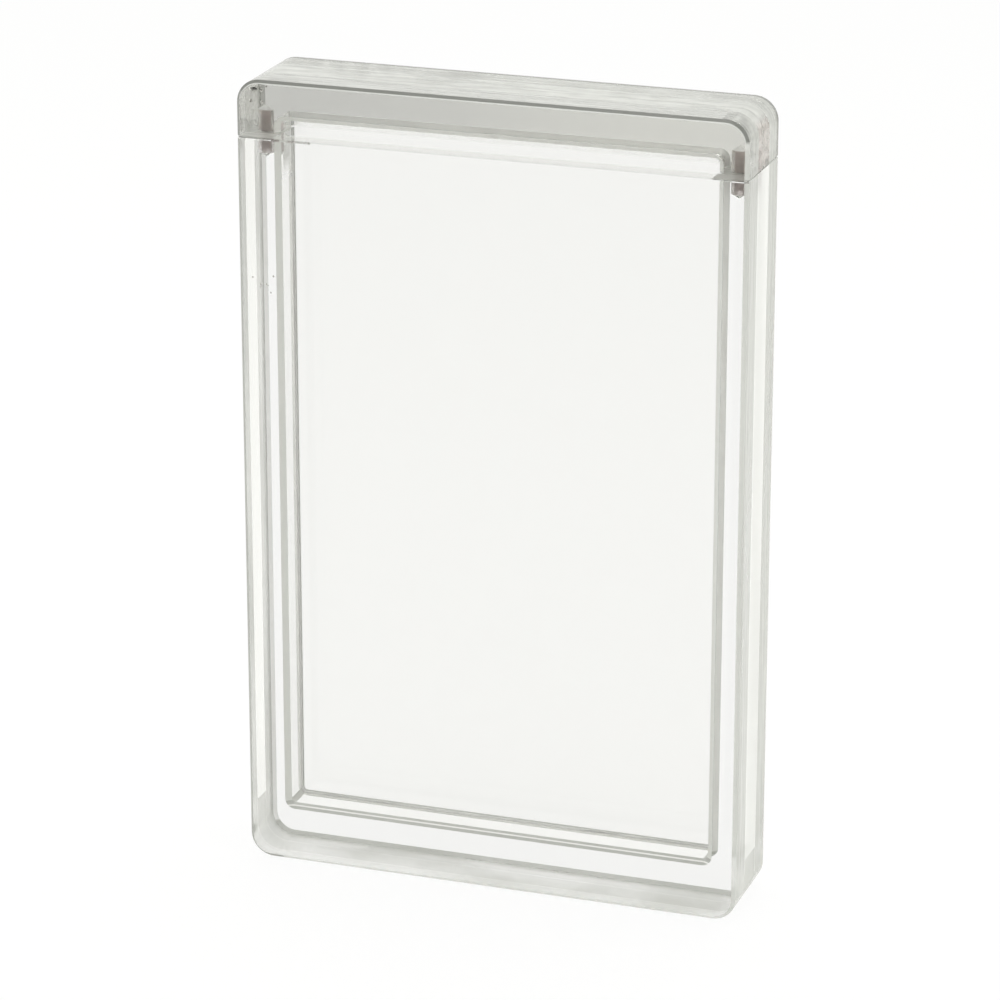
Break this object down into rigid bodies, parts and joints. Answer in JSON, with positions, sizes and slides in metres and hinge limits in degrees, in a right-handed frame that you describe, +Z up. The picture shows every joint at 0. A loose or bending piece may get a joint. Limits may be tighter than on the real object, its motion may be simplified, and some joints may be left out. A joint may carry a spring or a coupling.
{
  "type": "trading card display case",
  "caption": "Clear thick-walled acrylic display case for one graded trading card, with a pocket open at the top and a lift-off lid held by magnets in the side walls.",
  "frame": {"origin": "centre of the base that the case stands on", "axes": "+X to the right along the width, +Y from the front panel to the back panel along the depth, +Z up along the height, the way the lid lifts"},
  "size_m": [0.098, 0.02, 0.155],
  "materials": {
    "clear_acrylic": "clear cast acrylic, polished faces and edges, finely sawn parting faces",
    "hazed_acrylic": "clear cast acrylic with milled, lightly hazed faces, which make the solid parts of the lid look pale grey",
    "plated_magnet": "nickel plating over a sintered magnet"
  },
  "bodies": {
    "case": {"front_panel": "clear_acrylic", "pocket_frame": "clear_acrylic", "back_panel": "clear_acrylic", "left_case_magnet": "plated_magnet", "right_case_magnet": "plated_magnet"},
    "lid": {"lid_front_strip": "clear_acrylic", "lid_core": "hazed_acrylic", "lid_back_strip": "clear_acrylic", "left_lid_magnet": "plated_magnet", "right_lid_magnet": "plated_magnet"}
  },
  "joints": [
    {"name": "lid_lift", "type": "slide", "parent": "case", "child": "lid", "axis": [0, 0, 1], "range_m": [0, 0.155]}
  ]
}
